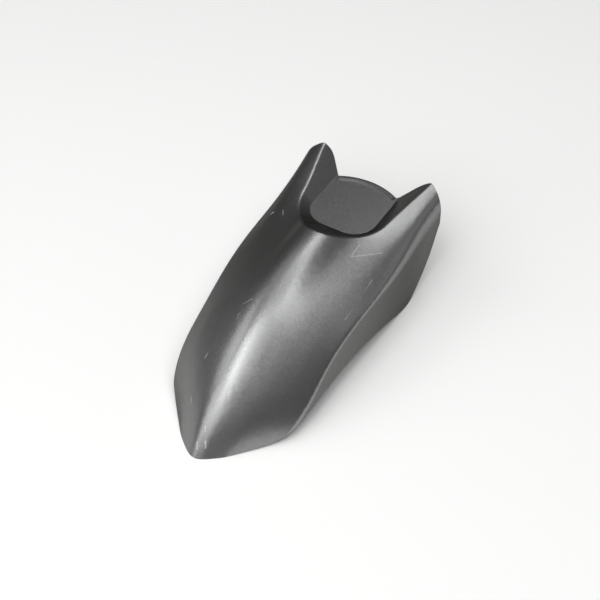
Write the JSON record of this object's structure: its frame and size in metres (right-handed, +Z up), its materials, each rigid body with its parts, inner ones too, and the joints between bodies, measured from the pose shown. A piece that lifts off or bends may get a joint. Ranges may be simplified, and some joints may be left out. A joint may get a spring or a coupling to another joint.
{
  "type": "scooter front fender",
  "caption": "Scooter front fender: thin moulded shell with a domed crown, side creases, a pointed nose and raised ears beside a rear recess.",
  "frame": {"origin": "centre of the bounding box in plan, on the surface that the fender stands on", "axes": "+X forward to the nose, +Y to the rider's left, +Z up"},
  "size_m": [0.4058, 0.188, 0.1335],
  "materials": {
    "metallic_paint": "graphite metallic flake paint under a clear coat, on moulded plastic"
  },
  "bodies": {
    "root": {"front_fender": "metallic_paint"}
  },
  "joints": []
}
